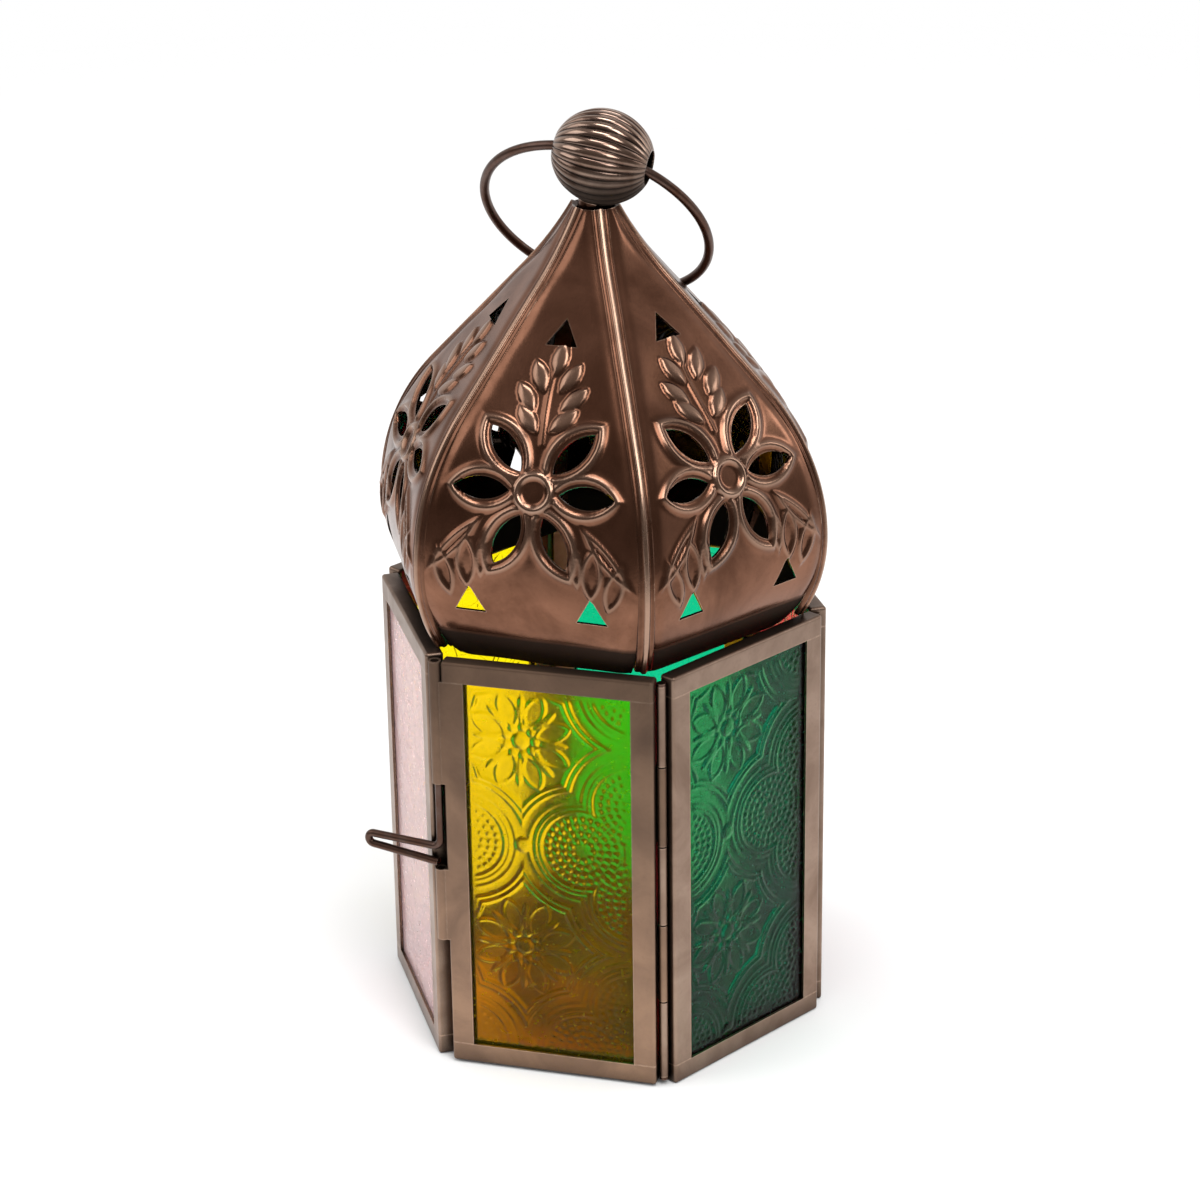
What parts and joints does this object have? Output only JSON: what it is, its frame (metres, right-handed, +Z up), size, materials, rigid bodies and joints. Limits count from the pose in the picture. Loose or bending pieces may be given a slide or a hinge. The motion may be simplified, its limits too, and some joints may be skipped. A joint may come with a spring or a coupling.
{
  "type": "candle lantern",
  "caption": "Small six-sided metal lantern with coloured pressed-glass panels, a pierced onion roof, a carrying ring and a hinged glass door with a wire latch, for a tea light.",
  "frame": {"origin": "centre of the six-sided footprint, on the surface that the lantern stands on", "axes": "+Z up, -Y towards the front door, +X to the right as seen from the front"},
  "size_m": [0.09, 0.082, 0.18],
  "materials": {
    "frame_metal": "antiqued dark bronze plating, semi-gloss, worn along the folds",
    "roof_metal": "antiqued copper plating, semi-gloss, with a pinkish grey sheen",
    "bead_metal": "antiqued copper plating, darker in the flutes",
    "wire_metal": "dark bronze plated wire",
    "inner_metal": "dull bronze plated sheet",
    "solder": "dull solder under the antique finish",
    "glass_amber": "amber pressed pattern glass",
    "glass_green": "green pressed pattern glass",
    "glass_red": "red pressed pattern glass",
    "glass_rose": "pale rose glass, smoother than the others"
  },
  "bodies": {
    "body": {"front_right_stiles": "frame_metal", "front_right_rails": "frame_metal", "front_right_pane": "glass_green", "rear_right_stiles": "frame_metal", "rear_right_rails": "frame_metal", "rear_right_pane": "glass_red", "rear_stiles": "frame_metal", "rear_rails": "frame_metal", "rear_pane": "glass_green", "rear_left_stiles": "frame_metal", "rear_left_rails": "frame_metal", "rear_left_pane": "glass_amber", "front_left_stiles": "frame_metal", "front_left_rails": "frame_metal", "front_left_pane": "glass_rose", "floor_tray": "inner_metal", "candle_cup": "inner_metal", "corner_solder": "solder", "hinge_pin": "wire_metal", "roof_panel_front": "roof_metal", "roof_panel_front_right": "roof_metal", "roof_panel_rear_right": "roof_metal", "roof_panel_rear": "roof_metal", "roof_panel_rear_left": "roof_metal", "roof_panel_front_left": "roof_metal", "roof_seam_right_front": "roof_metal", "roof_seam_right": "roof_metal", "roof_seam_right_rear": "roof_metal", "roof_seam_left_rear": "roof_metal", "roof_seam_left": "roof_metal", "roof_seam_left_front": "roof_metal", "roof_cap": "roof_metal", "finial_neck": "roof_metal", "finial_bead": "bead_metal"},
    "door": {"door_hinge_stile": "frame_metal", "door_latch_stile": "frame_metal", "door_rails": "frame_metal", "door_pane": "glass_amber"},
    "latch": {"latch_wire": "wire_metal"},
    "ring": {"carry_ring": "wire_metal"}
  },
  "joints": [
    {"name": "door_hinge", "type": "hinge", "parent": "body", "child": "door", "pos_m": [0.0213, -0.03689, 0.0425], "axis": [0, 0, 1], "range_deg": [0, 110]},
    {"name": "latch_turn", "type": "hinge", "parent": "door", "child": "latch", "pos_m": [-0.0215, -0.0382, 0.0425], "axis": [0, 0, 1], "range_deg": [0, 125]},
    {"name": "ring_swing", "type": "hinge", "parent": "body", "child": "ring", "pos_m": [0.00153, 0, 0.17117], "axis": [0.9848, 0, -0.1736], "range_deg": [0, 282]}
  ]
}
